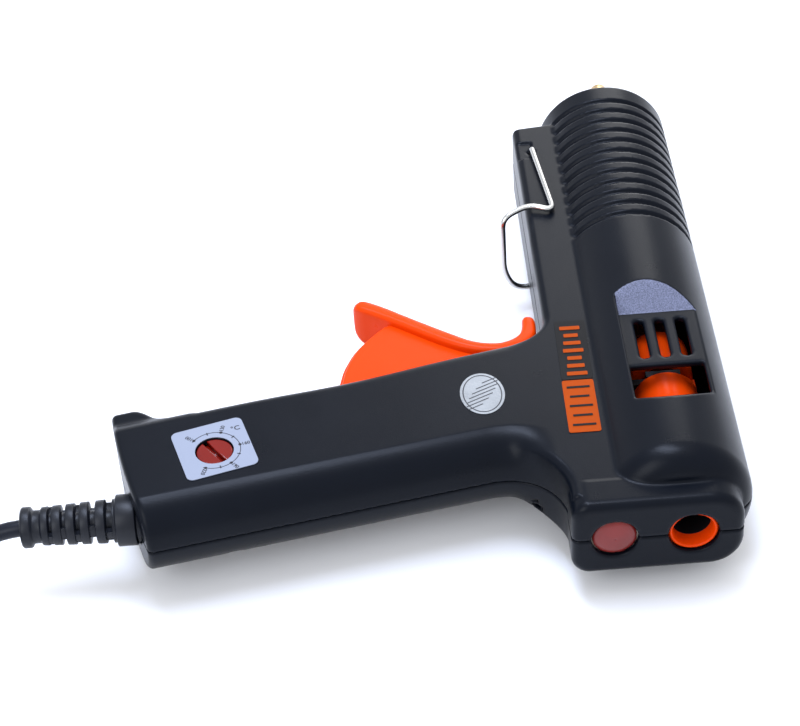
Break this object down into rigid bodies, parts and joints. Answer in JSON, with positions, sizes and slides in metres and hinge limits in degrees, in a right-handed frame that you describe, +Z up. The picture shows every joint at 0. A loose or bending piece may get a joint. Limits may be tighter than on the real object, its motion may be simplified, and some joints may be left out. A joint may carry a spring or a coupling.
{
  "type": "hot glue gun",
  "caption": "Corded hot glue gun lying on its side: ribbed round barrel, flat-sided grip with swinging trigger, feed carriage, folding wire stand, temperature dial and coiled cord.",
  "frame": {"origin": "middle of the gun's footprint on the table (the free cord left out), at the underside of the barrel as the gun lies on its right side", "axes": "+X along the barrel to the nozzle, +Y square to the barrel towards the end of the grip, +Z up, out of the gun's left side; the shells part on the plane z = 24.3 mm"},
  "size_m": [0.3583, 0.3574, 0.0486],
  "materials": {
    "body": "satin dark blue-black",
    "orange": "glossy orange",
    "brass": "machined",
    "steel": "bright plated",
    "aluminium": "cast",
    "rubber": "satin black",
    "silicone": "matt red silicone",
    "phenolic": "matt brown",
    "ceramic": "matt",
    "lens": "translucent red",
    "knob": "translucent dark red",
    "white": "white",
    "silver": "holographic foil",
    "board": "coated board",
    "black": "printed black"
  },
  "bodies": {
    "gun": {"left_shell": "body", "right_shell": "body", "stick_guide": "orange", "trigger_pin": "steel", "inlet_sleeve": "silicone", "sleeve_clamp": "steel", "melt_chamber": "aluminium", "heater_element": "ceramic", "rear_insulator": "phenolic", "nose_insulator": "phenolic", "nozzle": "brass", "lamp_lens": "lens", "lamp_body": "white", "control_board": "board", "potentiometer": "aluminium", "heat_sink": "aluminium", "film_capacitor": "orange", "heater_lead_live": "silicone", "heater_lead_neutral": "white", "strain_relief": "rubber", "power_cord": "rubber", "cord_clamp": "phenolic", "cord_coil": "rubber", "coil_tie": "black", "cord_tail": "rubber", "plug_body": "rubber", "plug_pin_1": "brass", "plug_pin_2": "brass", "dial_label": "white", "inspection_sticker": "silver", "rating_label": "black", "info_label": "orange", "case_screw_1": "steel", "case_screw_2": "steel", "case_screw_3": "steel", "case_screw_4": "steel", "case_screw_5": "steel", "case_screw_6": "steel"},
    "carriage": {"feed_carriage": "orange", "return_spring": "steel"},
    "gripper": {"stick_gripper": "steel"},
    "trigger": {"trigger": "orange"},
    "stand": {"stand_wire": "steel"},
    "knob": {"temperature_knob": "knob"},
    "ball": {"nozzle_ball": "steel", "nozzle_spring": "steel"}
  },
  "joints": [
    {"name": "trigger_hinge", "type": "hinge", "parent": "gun", "child": "trigger", "pos_m": [-0.05075, -0.02973, 0.0243], "axis": [0, 0, 1], "range_deg": [0, 22], "stiffness_Nm_per_rad": 0.6, "springref_deg": -8.59},
    {"name": "carriage_slide", "type": "slide", "parent": "gun", "child": "carriage", "axis": [1, 0, 0], "range_m": [0, 0.0136], "deforming": ["return_spring"]},
    {"name": "gripper_hinge", "type": "hinge", "parent": "carriage", "child": "gripper", "pos_m": [-0.0561, -0.08913, 0.0243], "axis": [0, 0, 1], "range_deg": [-4, 0]},
    {"name": "stand_hinge", "type": "hinge", "parent": "gun", "child": "stand", "pos_m": [0.06625, -0.04973, 0.0243], "axis": [0, 0, 1], "range_deg": [-105, 0]},
    {"name": "dial_turn", "type": "hinge", "parent": "gun", "child": "knob", "pos_m": [-0.08525, 0.06797, 0.0353], "axis": [0, 0, 1], "range_deg": [-240, 0]},
    {"name": "ball_valve", "type": "slide", "parent": "gun", "child": "ball", "axis": [1, 0, 0], "range_m": [0, 0.0012], "stiffness_N_per_m": 150, "springref_m": -0.002, "deforming": ["nozzle_spring"]}
  ],
  "couplings": [
    {"joint": "carriage_slide", "follows": "trigger_hinge", "m_per_rad": 0.0353},
    {"joint": "gripper_hinge", "follows": "trigger_hinge", "ratio": -0.18}
  ]
}
